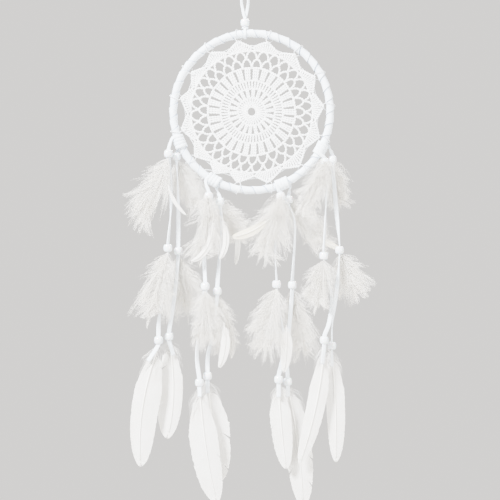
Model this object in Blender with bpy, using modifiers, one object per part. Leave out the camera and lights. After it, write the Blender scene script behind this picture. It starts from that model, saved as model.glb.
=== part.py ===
"""A crocheted dream catcher: a ribbon-wrapped hoop, a lace doily, four knotted laces with beads and feathers.

Metres, +Z up. The origin is where the hanging loop rests on its hook, and the hoop faces -Y.
Angles on the hoop run clockwise from its top, seen from the front.
"""

from math import atan2, acos, ceil, cos, exp, pi, radians, sin, tau

import bmesh
import bpy
from mathutils import Vector

MM = 0.001
COLLECTION = "dream_catcher"

# Hoop: a 160 mm ring under a spiral-wrapped ribbon.
HOOP_CENTRE = Vector((6.6 * MM, 0, -116.5 * MM))
RING_R = 76.1 * MM
CORE_R = 2.4 * MM
WRAP_R = 3.9 * MM
WRAP_THICK = 0.9 * MM
WRAP_GAP_DEG = 1.4
RING_STEPS = 48
LOOP_ANGLE = -5.0

# Doily: a hub, a row of long slots, two rows of net cells, and fifteen shells.
DOILY_HALF = 0.6 * MM
HUB_R = 3.7 * MM
HUB_STEPS = 8
SLOT_LOW = 31 * MM
SLOT_HIGH = 42.6 * MM
INNER_CELL_R = 47.2 * MM
INNER_CELL_HALF = 3.2 * MM
OUTER_CELL_R = 54.9 * MM
OUTER_CELL_HALF = 3.5 * MM
CELL_HALF_DEG = 4.85
EDGE_STEPS = 6
WEB_POINTS = 15
WEB_STEP = 24.0
WEB_START = -11.0
CELLS = 30
CELL_STEP = 12.0
TIP_R = 68.3 * MM
VALLEY_R = 61.5 * MM
EYELET_R = 66.6 * MM
EYELET_HALF = 1.1 * MM

# Thread that lashes the doily to the hoop.
THREAD_R = 0.4 * MM
THREAD_TURN_R = WRAP_R + THREAD_R + 0.6 * MM
THREAD_LAY = 1.6 * MM

# Laces: the round tube has the cross-section area of a 4 mm flat lace.
LACE_R = 1.2 * MM
LACE_Y = 3.5 * MM
LACE_STEP = 13 * MM
KNOT_R = 5.8 * MM
KNOT_TURNS = 3.5
KNOT_STEPS = 10
KNOT_PITCH = 3.2 * MM
KNOT_CLEAR_DEG = 7.4
LOOP_LACE_R = 0.95 * MM
LOOP_TURN_R = WRAP_R + LOOP_LACE_R + 0.35 * MM
LOOP_HALF_WIDTH = 3.2 * MM

# Pony beads.
BEAD_R = 4.25 * MM
BEAD_HOLE_R = 2.3 * MM
BEAD_HALF = 3.5 * MM
BEAD_Y = 4.3 * MM
TOP_BEAD_Z = -30.2 * MM
BEAD_STEPS = 10

# Feathers and fluffs.
QUILL_R = 0.6 * MM
QUILL_Y = 5.7 * MM
FLUFF_Y = 10.5 * MM
FLUFF_HALF = 4.2 * MM
FLUFF_NEAR_Y = QUILL_Y - QUILL_R
VANE_HALF = 0.6 * MM

FRONT, BACK = -1, 1

# Each strand, in millimetres right of and above the hoop's centre: beads, lace bows, and tips with half widths.
STRANDS = {
    "left_front": dict(
        knot=247, side=FRONT, upper=(-80.5, -41), mid=(-81, -132), end=(-90, -221), tail=(-100, -241),
        upper_bows=[(-78, -89)], lower_bows=[(-85, -166), (-89.5, -200)],
        upper_fluff=(-112, -113, 12), mid_fluff=(-101, -205, 10), feather=(-112, -285, -107.5, -340, 11),
    ),
    "left_back": dict(
        knot=247, side=BACK, upper=(-73, -43), mid=(-71.5, -135), end=(-80.5, -218), tail=(-76, -236.5),
        upper_bows=[(-71.5, -89)], lower_bows=[(-75, -177)],
        upper_fluff=(-52, -96, 9), mid_fluff=(-60, -206, 10), feather=(-72, -275, -81.5, -313.5, 9.5),
    ),
    "lower_left_front": dict(
        knot=209, side=FRONT, upper=(-41.5, -82), mid=(-45, -169), end=(-50.5, -262), tail=(-50, -275.5),
        upper_bows=[(-46.5, -119)], lower_bows=[(-51.5, -215), (-53, -238)],
        upper_fluff=(-47, -148, 11), mid_fluff=(-39, -232, 9), feather=(-46, -330, -35, -372, 11.5),
    ),
    "lower_left_back": dict(
        knot=209, side=BACK, upper=(-31, -87), mid=(-33.5, -174), end=(-43, -256.5), tail=(-43, -273),
        upper_bows=[(-29.5, -110)], lower_bows=[(-38, -215), (-42.5, -236)],
        upper_fluff=(-10, -128, 10), mid_fluff=(-27, -240, 9), feather=(-36, -325, -35.5, -355, 11),
    ),
    "lower_right_front": dict(
        knot=157, side=FRONT, upper=(28, -82), mid=(24, -167), end=(26, -259), tail=(26, -276),
        upper_bows=[(23, -110), (22.5, -136)], lower_bows=[(30, -212), (31.5, -230)],
        upper_fluff=(6, -146, 13), mid_fluff=(8, -240, 11), feather=(27, -300, 33, -343, 8.5),
    ),
    "lower_right_back": dict(
        knot=157, side=BACK, upper=(36, -85), mid=(39.5, -168), end=(35, -262), tail=(35, -276.5),
        upper_bows=[(42, -110)], lower_bows=[(36, -212), (33.5, -230)],
        upper_fluff=(80, -131, 9), mid_fluff=(53, -245, 11), feather=(47, -320, 50, -381, 12),
    ),
    "right_front": dict(
        knot=118, side=FRONT, upper=(70.5, -49), mid=(69.5, -139.5), end=(70, -221), tail=(68, -244),
        upper_bows=[(71.5, -92)], lower_bows=[(77, -178), (75, -203)],
        upper_fluff=(47, -98, 9), mid_fluff=(61, -192, 10), feather=(66, -285, 46, -341, 8.5),
    ),
    "right_back": dict(
        knot=118, side=BACK, upper=(78.5, -46), mid=(85.5, -134), end=(78, -227), tail=(78, -247),
        upper_bows=[(82, -92)], lower_bows=[(82, -178), (78.5, -205)],
        upper_fluff=(86, -96, 9), mid_fluff=(108, -183, 10), feather=(83, -290, 82, -339, 8.5),
    ),
}


def ring_point(angle, radius=RING_R, y=0.0):
    a = radians(angle)
    return HOOP_CENTRE + Vector((radius * sin(a), y, radius * cos(a)))


def ring_section(angle, turn, radius):
    """A point that lies round the ring's section: turn 0 is outermost, and pi/2 is at the back."""
    return ring_point(angle, RING_R + radius * cos(turn), radius * sin(turn))


def hung(place, y):
    """A strand's (right, up) millimetres as a point at depth y."""
    return HOOP_CENTRE + Vector((place[0] * MM, y, place[1] * MM))


def warped(angle, radius):
    """The web's points crowd towards the lower left: the whole net turns a little with them."""
    angle = angle % 360
    bottom = 11.0 * exp(-0.5 * ((angle - 170) / 33) ** 2)
    left = 4.2 * exp(-0.5 * ((angle - 275) / 24) ** 2)
    return angle + (bottom + left) * (radius / TIP_R) ** 2


def smooth_route(stations, step):
    """Points along a Catmull-Rom curve through the stations, about a step apart."""
    padded = [stations[0], *stations, stations[-1]]
    points = []
    for p0, p1, p2, p3 in zip(padded, padded[1:], padded[2:], padded[3:]):
        parts = max(1, ceil((p2 - p1).length / step))
        for i in range(parts):
            t = i / parts
            points.append(
                0.5 * (2 * p1 + (p2 - p0) * t + (2 * p0 - 5 * p1 + 4 * p2 - p3) * t**2
                       + (3 * p1 - p0 - 3 * p2 + p3) * t**3)
            )
    return points + [stations[-1]]


def material(name, colour, roughness):
    made = bpy.data.materials.new(name)
    made.use_nodes = True
    shader = made.node_tree.nodes["Principled BSDF"]
    shader.inputs["Base Color"].default_value = (*colour, 1)
    shader.inputs["Roughness"].default_value = roughness
    return made


def add(name, data, look, at=None, hinge=None):
    """Put one sub-part in the collection, hung from its hinge's empty where it has one."""
    piece = bpy.data.objects.new(name, data)
    piece.location = at or Vector()
    if hinge:
        piece.parent = hinge
        piece.location -= Vector(hinge["at"])
    data.materials.append(look)
    bpy.data.collections[COLLECTION].objects.link(piece)
    return piece


def hinge_empty(name, at, parent=None):
    empty = bpy.data.objects.new(name, None)
    empty.location = at - (Vector(parent["at"]) if parent else Vector())
    empty.parent = parent
    empty["at"] = at
    empty.empty_display_size = 5 * MM
    bpy.data.collections[COLLECTION].objects.link(empty)
    return empty


def tube(name, points, radius, sides, look, cyclic=False, caps=True, hinge=None):
    """A POLY-spline tube through the points, with an even number of sides."""
    curve = bpy.data.curves.new(name, "CURVE")
    curve.dimensions = "3D"
    curve.bevel_depth = radius
    curve.bevel_resolution = sides // 2 - 2
    curve.use_fill_caps = caps
    spline = curve.splines.new("POLY")
    spline.points.add(len(points) - 1)
    for slot, p in zip(spline.points, points):
        slot.co = (*(p - points[0]), 1)
    spline.use_cyclic_u = cyclic
    return add(name, curve, look, points[0], hinge)


def reshaped_ball(name, spine, half_width, half_depth, rings, sides, look, hinge):
    """A sphere drawn out along a spine in an upright plane: a soft form with a stem at its top."""
    mesh = bpy.data.meshes.new(name)
    shape = bmesh.new()
    bmesh.ops.create_uvsphere(shape, u_segments=sides, v_segments=rings, radius=1)
    top = spine(0)
    nudge = 0.01
    for v in shape.verts:
        t = acos(max(-1, min(1, v.co.z))) / pi
        turn = atan2(v.co.y, v.co.x)
        shrink = 0 if t < 1e-4 or t > 1 - 1e-4 else 1
        along = spine(min(1, t + nudge)) - spine(max(0, t - nudge))
        across = Vector((0, 1, 0)).cross(-along).normalized()
        v.co = (spine(t) - top + across * (half_width(t) * cos(turn) * shrink)
                + Vector((0, half_depth(t) * sin(turn) * shrink, 0)))
    shape.to_mesh(mesh)
    shape.free()
    mesh.shade_smooth()
    return add(name, mesh, look, top, hinge)


def bezier(t, *points):
    """A point on the Bezier curve with these handles."""
    while len(points) > 1:
        points = [a.lerp(b, t) for a, b in zip(points, points[1:])]
    return points[0]


def hoop_core(look):
    bpy.ops.mesh.primitive_torus_add(
        major_segments=RING_STEPS, minor_segments=6, major_radius=RING_R, minor_radius=CORE_R,
        location=HOOP_CENTRE, rotation=(pi / 2, 0, 0),
    )
    core = bpy.context.object
    core.name = "hoop_core"
    core.data.materials.append(look)
    core.data.shade_smooth()
    for holder in core.users_collection:
        holder.objects.unlink(core)
    bpy.data.collections[COLLECTION].objects.link(core)


def hoop_wrap(look):
    """The ribbon's shell. Its two ends nearly meet under the hanging loop."""
    first = LOOP_ANGLE + WRAP_GAP_DEG / 2
    sweep = 360 - WRAP_GAP_DEG
    points = [ring_point(first + sweep * i / RING_STEPS) for i in range(RING_STEPS + 1)]
    wrap = tube("hoop_wrap", points, WRAP_R, 8, look, caps=False)
    skin = wrap.modifiers.new("thickness", "SOLIDIFY")
    skin.thickness = WRAP_THICK
    skin.offset = -1


def flat_spline(curve, points):
    """A closed outline in the doily's plane, from (angle, radius) corners."""
    spline = curve.splines.new("POLY")
    spline.points.add(len(points) - 1)
    for slot, (angle, radius) in zip(spline.points, points):
        a = radians(warped(angle, radius))
        slot.co = (radius * sin(a), radius * cos(a), 0, 1)
    spline.use_cyclic_u = True


def diamond(curve, angle, radius, half):
    """One cell of the net."""
    flat_spline(curve, [(angle, radius - half), (angle + CELL_HALF_DEG, radius),
                        (angle, radius + half), (angle - CELL_HALF_DEG, radius)])


def web_angle(k):
    return WEB_START + WEB_STEP * k


def doily(look):
    curve = bpy.data.curves.new("crochet_doily", "CURVE")
    curve.dimensions = "2D"
    curve.fill_mode = "BOTH"
    curve.extrude = DOILY_HALF
    outline = []
    for i in range(WEB_POINTS * EDGE_STEPS):
        u = i / EDGE_STEPS
        bulge = abs(cos(pi * u)) ** 0.6
        outline.append((web_angle(u), VALLEY_R + (TIP_R - VALLEY_R) * bulge))
    flat_spline(curve, outline)
    flat_spline(curve, [(360 * i / HUB_STEPS, HUB_R) for i in range(HUB_STEPS)])
    for k in range(CELLS):
        a = CELL_STEP * k
        flat_spline(curve, [(a - 3.8, SLOT_LOW), (a + 3.8, SLOT_LOW), (a + 4.6, SLOT_HIGH), (a - 4.6, SLOT_HIGH)])
        diamond(curve, a + CELL_STEP / 2, INNER_CELL_R, INNER_CELL_HALF)
        diamond(curve, a, OUTER_CELL_R, OUTER_CELL_HALF)
    half_turn = EYELET_HALF / EYELET_R * 180 / pi
    for k in range(WEB_POINTS):
        a = web_angle(k)
        low, high = EYELET_R - EYELET_HALF, EYELET_R + EYELET_HALF
        flat_spline(curve, [(a - half_turn, low), (a + half_turn, low), (a + half_turn, high), (a - half_turn, high)])
    piece = add("crochet_doily", curve, look, HOOP_CENTRE)
    piece.rotation_euler = (pi / 2, 0, 0)


def clear_of_knots(angle):
    """Where the thread crosses the hoop: at its eyelet's angle, or just beside a lace's knot."""
    for knot in {s["knot"] for s in STRANDS.values()}:
        if abs(angle - knot) < KNOT_CLEAR_DEG:
            return knot + KNOT_CLEAR_DEG * (1 if angle > knot else -1)
    return angle


def lashing_thread(look):
    """One thread: up through each eyelet, once round the hoop, then behind the shells to the next eyelet."""
    points = []
    for k in range(WEB_POINTS):
        eyelet = warped(web_angle(k), EYELET_R)
        across = clear_of_knots(eyelet)
        points.append(ring_point(eyelet - 0.5, EYELET_R, THREAD_LAY))
        points.append(ring_point(eyelet, EYELET_R, -THREAD_LAY))
        turn_steps = 8
        for i in range(turn_steps):
            turn = pi + radians(40) + radians(280) * i / (turn_steps - 1)
            drift = 1.0 * (i / (turn_steps - 1) - 0.5)
            points.append(ring_section(across + drift, turn, THREAD_TURN_R))
        points.append(ring_point(eyelet + 1.9, EYELET_R - 0.8 * MM, THREAD_LAY))
    tube("lashing_thread", points, THREAD_R, 4, look, cyclic=True)


def hanging_loop(look):
    """A lace passed round the hoop, with both its legs through the top bead."""
    knot = ring_point(LOOP_ANGLE)
    under = [
        knot + Vector((0, LOOP_TURN_R * sin(a), -LOOP_TURN_R * cos(a)))
        for a in [radians(-100 + 200 * i / 8) for i in range(9)]
    ]
    leg_y = LOOP_LACE_R + 0.15 * MM
    bead_foot = TOP_BEAD_Z - BEAD_HALF - 0.4 * MM
    bead_head = TOP_BEAD_Z + BEAD_HALF + 0.4 * MM
    back = [
        Vector((0, leg_y, bead_foot)),
        Vector((0, leg_y, bead_head)),
        Vector((1.6 * MM, leg_y, bead_head + 6 * MM)),
    ]
    crown_z = LOOP_LACE_R - LOOP_HALF_WIDTH
    crown = [
        Vector((LOOP_HALF_WIDTH * cos(a), 0, crown_z + LOOP_HALF_WIDTH * sin(a)))
        for a in [radians(-20 + 220 * i / 8) for i in range(9)]
    ]
    front = [Vector((-p.x, -p.y, p.z)) for p in reversed(back)]
    tube("hanging_loop", under + back + crown + front, LOOP_LACE_R, 6, look, cyclic=True)


def bead_mesh():
    """A pony bead's closed profile, which a Screw turns."""
    mesh = bpy.data.meshes.new("bead_profile")
    corner = 1.3 * MM
    profile = [
        (BEAD_HOLE_R, BEAD_HALF),
        (BEAD_R - corner, BEAD_HALF),
        (BEAD_R, BEAD_HALF - corner),
        (BEAD_R, corner - BEAD_HALF),
        (BEAD_R - corner, -BEAD_HALF),
        (BEAD_HOLE_R, -BEAD_HALF),
    ]
    edges = [(i, (i + 1) % len(profile)) for i in range(len(profile))]
    mesh.from_pydata([(r, 0, z) for r, z in profile], edges, [])
    return mesh


def bead(name, profile, at, hinge=None):
    piece = bpy.data.objects.new(name, profile)
    piece.location = at - (Vector(hinge["at"]) if hinge else Vector())
    piece.parent = hinge
    turn = piece.modifiers.new("turn", "SCREW")
    turn.steps = BEAD_STEPS
    turn.render_steps = BEAD_STEPS
    turn.use_merge_vertices = True
    turn.merge_threshold = 0.00001
    bpy.data.collections[COLLECTION].objects.link(piece)


def bead_at(strand, which):
    return hung(strand[which], strand["side"] * BEAD_Y)


def quill_at(strand, which, above):
    """A point on the line of the quills, above a bead's middle."""
    return hung(strand[which], strand["side"] * QUILL_Y) + Vector((0, 0, above))


def fluff(name, strand, which, tip, look, hinge):
    """A soft tapered plume that hooks into a bead beside the lace."""
    depth = strand["side"] * FLUFF_Y
    start = quill_at(strand, which, 1 * MM)
    foot = quill_at(strand, which, -BEAD_HALF - 5 * MM)
    end = hung(tip[:2], depth)
    belly = Vector((foot.x * 0.6 + end.x * 0.4, depth, foot.z * 0.75 + end.z * 0.25))
    stem = 0.13

    def spine(t):
        if t < stem:
            return start.lerp(foot, t / stem)
        return bezier((t - stem) / (1 - stem), foot, belly, belly.lerp(end, 0.6), end)

    def swell(t, full):
        if t <= stem:
            return QUILL_R
        return QUILL_R + (full - QUILL_R) * abs(sin(pi * ((t - stem) / (1 - stem)) ** 0.8)) ** 0.8

    def depth_clear_of_lace(t):
        return min(swell(t, FLUFF_HALF), abs(spine(t).y) - FLUFF_NEAR_Y)

    reshaped_ball(name, spine, lambda t: swell(t, tip[2] * MM), depth_clear_of_lace, 8, 8, look, hinge)


def long_feather(name, strand, look, hinge):
    """A goose feather: a thin bowed vane on a quill."""
    bend_x, bend_z, tip_x, tip_z, half = strand["feather"]
    depth = strand["side"] * QUILL_Y
    start = quill_at(strand, "end", 1 * MM)
    foot = quill_at(strand, "end", -BEAD_HALF - 6 * MM)
    bend = hung((bend_x, bend_z), depth)
    end = hung((tip_x, tip_z), depth)
    stem = 0.12

    def spine(t):
        if t < stem:
            return start.lerp(foot, t / stem)
        return bezier((t - stem) / (1 - stem), foot, bend, end)

    def vane(t):
        u = max(0, (t - stem) / (1 - stem))
        return QUILL_R + (half * MM - QUILL_R) * abs(sin(pi * u**0.9)) ** 0.5

    reshaped_ball(name, spine, vane, lambda t: VANE_HALF, 12, 6, look, hinge)


def lace_stations(strand):
    """The lace's way up one strand, from its tail to just outside the knot."""
    y = strand["side"] * LACE_Y
    through = Vector((0, 0, BEAD_HALF + 0.6 * MM))
    end, mid, upper = (hung(strand[k], y) for k in ("end", "mid", "upper"))
    return [
        hung(strand["tail"], y), end - through, end + through,
        *(hung(p, y) for p in reversed(strand["lower_bows"])),
        mid - through, mid + through,
        *(hung(p, y) for p in reversed(strand["upper_bows"])),
        upper - through, upper + through,
    ]


def shoulder(strand, angle):
    """Where a strand leaves the knot: outwards along the hoop's radius, then over its bead."""
    out = 5 * MM
    return ring_point(angle, RING_R + out, strand["side"] * 5 * MM)


def lace(name, front, back, look):
    """One lace: up the front strand, round the hoop as a knot, and down the back strand."""
    steps = int(KNOT_TURNS * KNOT_STEPS)
    half_span = KNOT_TURNS * KNOT_PITCH / RING_R * 90 / pi
    knot = []
    for i in range(steps + 1):
        turn = -pi / 2 - tau * i / KNOT_STEPS
        angle = front["knot"] + half_span * (1 - 2 * i / steps)
        knot.append(ring_section(angle, turn, KNOT_R))
    up = lace_stations(front) + [shoulder(front, front["knot"] + half_span), knot[0]]
    down = [knot[-1], shoulder(back, back["knot"] - half_span)] + list(reversed(lace_stations(back)))
    points = smooth_route(up, LACE_STEP)[:-1] + knot + smooth_route(down, LACE_STEP)[1:]
    tube(name, points, LACE_R, 6, look)


def hang_strand(name, strand, profile, looks):
    """A strand's beads, fluffs and feather, hung from two empties on its hinges."""
    knot_hinge = hinge_empty(name + "_swing", bead_at(strand, "upper") + Vector((0, 0, BEAD_HALF)))
    tip_hinge = hinge_empty(name + "_tip_swing", bead_at(strand, "end") + Vector((0, 0, BEAD_HALF)), knot_hinge)
    bead(name + "_upper_bead", profile, bead_at(strand, "upper"), knot_hinge)
    bead(name + "_mid_bead", profile, bead_at(strand, "mid"), knot_hinge)
    bead(name + "_end_bead", profile, bead_at(strand, "end"), tip_hinge)
    fluff(name + "_upper_fluff", strand, "upper", strand["upper_fluff"], looks["down"], knot_hinge)
    fluff(name + "_mid_fluff", strand, "mid", strand["mid_fluff"], looks["down"], knot_hinge)
    long_feather(name + "_feather", strand, looks["feather"], tip_hinge)


def main():
    for old in list(bpy.data.objects):
        bpy.data.objects.remove(old)
    bpy.context.scene.collection.children.link(bpy.data.collections.new(COLLECTION))
    looks = {
        "core": material("rattan_core", (0.55, 0.42, 0.28), 0.7),
        "ribbon": material("suede_ribbon", (0.83, 0.88, 0.93), 0.8),
        "cotton": material("crochet_cotton", (0.9, 0.9, 0.88), 0.85),
        "lace": material("suede_lace", (0.85, 0.89, 0.94), 0.8),
        "bead": material("white_plastic", (0.88, 0.91, 0.95), 0.25),
        "down": material("marabou_down", (0.9, 0.88, 0.84), 0.9),
        "feather": material("goose_feather", (0.88, 0.86, 0.82), 0.6),
    }
    hoop_core(looks["core"])
    hoop_wrap(looks["ribbon"])
    doily(looks["cotton"])
    lashing_thread(looks["cotton"])
    hanging_loop(looks["lace"])
    profile = bead_mesh()
    profile.materials.append(looks["bead"])
    bead("top_bead", profile, Vector((0, 0, TOP_BEAD_Z)))
    for name, strand in STRANDS.items():
        hang_strand(name, strand, profile, looks)
    for pendant in ("left", "lower_left", "lower_right", "right"):
        lace(pendant + "_lace", STRANDS[pendant + "_front"], STRANDS[pendant + "_back"], looks["lace"])


main()
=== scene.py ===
"""The dream catcher's looks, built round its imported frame: ribbon, crochet, laces, beads, down and feathers.

Metres, +Z up; the hoop faces -Y. Angles on the hoop run clockwise from its top, seen from the front.
"""

from math import ceil, cos, exp, floor, pi, radians, sin, tau

import bpy
import numpy as np
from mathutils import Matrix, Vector, noise


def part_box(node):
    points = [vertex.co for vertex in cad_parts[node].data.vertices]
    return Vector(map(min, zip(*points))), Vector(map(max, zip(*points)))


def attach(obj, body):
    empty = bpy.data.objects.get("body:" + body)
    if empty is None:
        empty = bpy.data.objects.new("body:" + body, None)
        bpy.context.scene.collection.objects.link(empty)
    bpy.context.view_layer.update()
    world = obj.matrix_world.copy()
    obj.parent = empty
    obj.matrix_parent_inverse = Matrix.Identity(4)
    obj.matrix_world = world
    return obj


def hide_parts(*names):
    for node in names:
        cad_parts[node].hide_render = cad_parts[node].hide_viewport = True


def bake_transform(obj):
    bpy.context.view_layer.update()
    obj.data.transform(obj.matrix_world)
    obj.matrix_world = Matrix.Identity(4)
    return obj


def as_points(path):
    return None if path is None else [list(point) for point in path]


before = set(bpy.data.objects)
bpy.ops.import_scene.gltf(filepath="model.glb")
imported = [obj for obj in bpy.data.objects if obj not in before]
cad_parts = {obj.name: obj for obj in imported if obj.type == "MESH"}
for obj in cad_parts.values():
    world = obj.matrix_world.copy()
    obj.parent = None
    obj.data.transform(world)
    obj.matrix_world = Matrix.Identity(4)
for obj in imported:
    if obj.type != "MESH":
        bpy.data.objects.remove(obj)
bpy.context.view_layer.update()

noise.seed_set(5)        # without a seed, the doily's unevenness would change from run to run
MM = 0.001
TINY = 1e-9
FRONT = Vector((0, -1, 0))
BACKWARD = np.array((0.0, 1.0, 0.0))
DOWN = np.array((0.0, 0.0, -1.0))


def middle(node):
    low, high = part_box(node)
    return (Vector(low) + Vector(high)) / 2


def extent(node):
    low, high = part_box(node)
    return Vector(high) - Vector(low)


# ---------------------------------------------------------------- sizes, from the frame where it has them

HOOP_CENTRE = middle("hoop_core")
WRAP_R = extent("hoop_wrap").y / 2
RING_R = extent("hoop_wrap").x / 2 - WRAP_R
LOOP_ANGLE = -5.0

RIBBON_PITCH = 11.6 * MM
RIBBON_LAP = 2.2 * MM
RIBBON_THICK = 0.5 * MM
RIBBON_AROUND = 28             # points along each turn

YARN_R = 0.54 * MM
YARN_SWING = 0.5 * MM          # how far each of a stitch's two strands runs from its middle
YARN_PITCH = 2.7 * MM
WEB_POINTS = 15
WEB_STEP = 360 / WEB_POINTS
WEB_START = -11.0
EDGE_PARTS = 16                # points along the doily's edge, for each shell
TIP_R = 69.8 * MM
VALLEY_R = 62.0 * MM
SHELL_FOOT_R = 58.6 * MM
SHELL_FAN = 12                 # long stitches in each shell
EYELET_R = 66.6 * MM
CELLS = 30

THREAD_R = 0.24 * MM
THREAD_SWING = 0.2 * MM
THREAD_PITCH = 2.2 * MM
THREAD_TURN_R = WRAP_R + 0.95 * MM
THREAD_LAY = 1.6 * MM

LACE_WIDTH = 4.0 * MM
LACE_THICK = 1.1 * MM
LACE_Y = 3.5 * MM
LACE_IN_BEAD = 0.8 * MM        # how far a strand's lace lies from the middle of its beads' holes
END_FORWARD = 2.4 * MM         # how much further forward a front lace hangs at its end bead
KNOT_R = 5.3 * MM
KNOT_TURNS = 3.5
KNOT_PITCH = 3.2 * MM
KNOT_CLEAR_DEG = 7.4
KNOT_WIDTH = 3.3 * MM
KNOT_THICK = 1.0 * MM
SHOULDER_OUT = 5.4 * MM        # where a knot's lace leaves the hoop: outward of its ring
SHOULDER_Y = 4.1 * MM          # and before or behind it

LOOP_WIDTH = 2.7 * MM
LOOP_THICK = 0.9 * MM
LOOP_LEG = 0.75 * MM           # how far each leg runs from the middle of the top bead's hole

BEAD_R = 4.25 * MM
BEAD_ROUND = 1.6 * MM
BEAD_HOLE_R = 2.3 * MM
BEAD_FLARE = 0.25 * MM
BEAD_HALF = 3.5 * MM
BEAD_AROUND = 28

QUILL_Y = 5.7 * MM
FLUFF_Y = 10.5 * MM
FLUFF_REACH = 18.0 * MM
FLUFF_CLEAR = 5.0 * MM
LOCKS = 44                     # locks in each tuft
BARBS = 560                    # its long barbs
PUFFS = 170                    # the short ones at its root
OVER_BEAD = 130                # and those blown up in front of its bead
BARB_R = 0.15 * MM
BARBULES = 46                  # on each barb
BARBULE_HALF = 0.06 * MM

QUILL_SHARE = 0.06             # the share of a long feather's curve that is quill, in and under its bead
VANE_SHARE = 0.86              # and the share that its vane's feet stand on
VANE_THICK = 0.07 * MM
VANE_LAY = 0.06 * MM           # how far neighbouring barbs lie behind one another
FUZZ_R = 0.12 * MM
BARB_STEPS = np.linspace(0, 1, 9)[:, None]
VANE_STEPS = np.linspace(0, 1, 8)[:, None]

PENDANTS = {"left": 247, "lower_left": 209, "lower_right": 157, "right": 118}
SIDES = {"front": -1, "back": 1}

# Where each strand's lace goes above and below its middle bead, and its tail's end. Millimetres right of
# and above the hoop's centre.
BOWS = {
    "left_front": dict(upper=[(-78, -89)], lower=[(-85, -166), (-89.5, -200)], tail=(-100, -241)),
    "left_back": dict(upper=[(-71.5, -89)], lower=[(-75, -177)], tail=(-76, -236.5)),
    "lower_left_front": dict(upper=[(-46.5, -119)], lower=[(-51.5, -215), (-53, -238)], tail=(-50, -275.5)),
    "lower_left_back": dict(upper=[(-29.5, -110)], lower=[(-38, -215), (-42.5, -236)], tail=(-43, -273)),
    "lower_right_front": dict(
        upper=[(23, -110), (22.5, -136)], lower=[(30, -212), (31.5, -230)], tail=(26, -276)),
    "lower_right_back": dict(upper=[(42, -110)], lower=[(36, -212), (33.5, -230)], tail=(35, -276.5)),
    "right_front": dict(upper=[(71.5, -92)], lower=[(77, -178), (75, -203)], tail=(68, -244)),
    "right_back": dict(upper=[(82, -92)], lower=[(82, -178), (78.5, -205)], tail=(78, -247)),
}


# ---------------------------------------------------------------- points

def ring_point(angle, radius=RING_R, y=0.0):
    a = radians(angle)
    return HOOP_CENTRE + Vector((radius * sin(a), y, radius * cos(a)))


def ring_section(angle, turn, radius):
    """A point that lies round the ring's section: turn 0 is outermost, and pi/2 is at the back."""
    return ring_point(angle, RING_R + radius * cos(turn), radius * sin(turn))


def hung(place, y):
    return HOOP_CENTRE + Vector((place[0] * MM, y, place[1] * MM))


def warped(angle, radius):
    """The web's points crowd towards the lower left: the whole net turns a little with them."""
    angle = angle % 360
    bottom = 11.0 * exp(-0.5 * ((angle - 170) / 33) ** 2)
    left = 4.2 * exp(-0.5 * ((angle - 275) / 24) ** 2)
    return angle + (bottom + left) * (radius / TIP_R) ** 2


def smooth_route(stations, step):
    """Points along a Catmull-Rom curve through the stations, about a step apart."""
    padded = [stations[0], *stations, stations[-1]]
    points = []
    for p0, p1, p2, p3 in zip(padded, padded[1:], padded[2:], padded[3:]):
        parts = max(1, ceil((p2 - p1).length / step))
        for i in range(parts):
            t = i / parts
            points.append(
                0.5 * (2 * p1 + (p2 - p0) * t + (2 * p0 - 5 * p1 + 4 * p2 - p3) * t**2
                       + (3 * p1 - p0 - 3 * p2 + p3) * t**3)
            )
    return points + [stations[-1]]


def bezier(t, *points):
    while len(points) > 1:
        points = [a.lerp(b, t) for a, b in zip(points, points[1:])]
    return points[0]


def distances(line):
    """How far along an array of points each of them is."""
    return np.concatenate([[0], np.cumsum(np.linalg.norm(np.diff(line, axis=0), axis=1))])


def unit(vectors):
    """The same directions with length 1. One of no length stays 0."""
    return vectors / np.maximum(np.linalg.norm(vectors, axis=-1, keepdims=True), TINY)


def resampled(points, step):
    """The same polyline with its points an even step apart, as an array."""
    line = np.array([tuple(p) for p in points])
    along = distances(line)
    at = np.linspace(0, along[-1], max(2, ceil(along[-1] / step) + 1))
    return np.stack([np.interp(at, along, line[:, k]) for k in range(3)], axis=1)


def frames(line):
    """Tangents, and two normals that turn as little as they can, along an array of points."""
    tangents = unit(np.gradient(line, axis=0))
    normals = np.zeros_like(line)
    guess = BACKWARD
    for i, t in enumerate(tangents):
        guess = guess - t * guess.dot(t)
        if np.linalg.norm(guess) < 1e-6:
            guess = np.cross(t, (1.0, 0.0, 0.0))
        guess = guess / np.linalg.norm(guess)
        normals[i] = guess
    return tangents, normals, np.cross(tangents, normals)


# ---------------------------------------------------------------- meshes

def linked(name, data):
    made = bpy.data.objects.new(name, data)
    bpy.context.scene.collection.objects.link(made)
    return made


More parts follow.
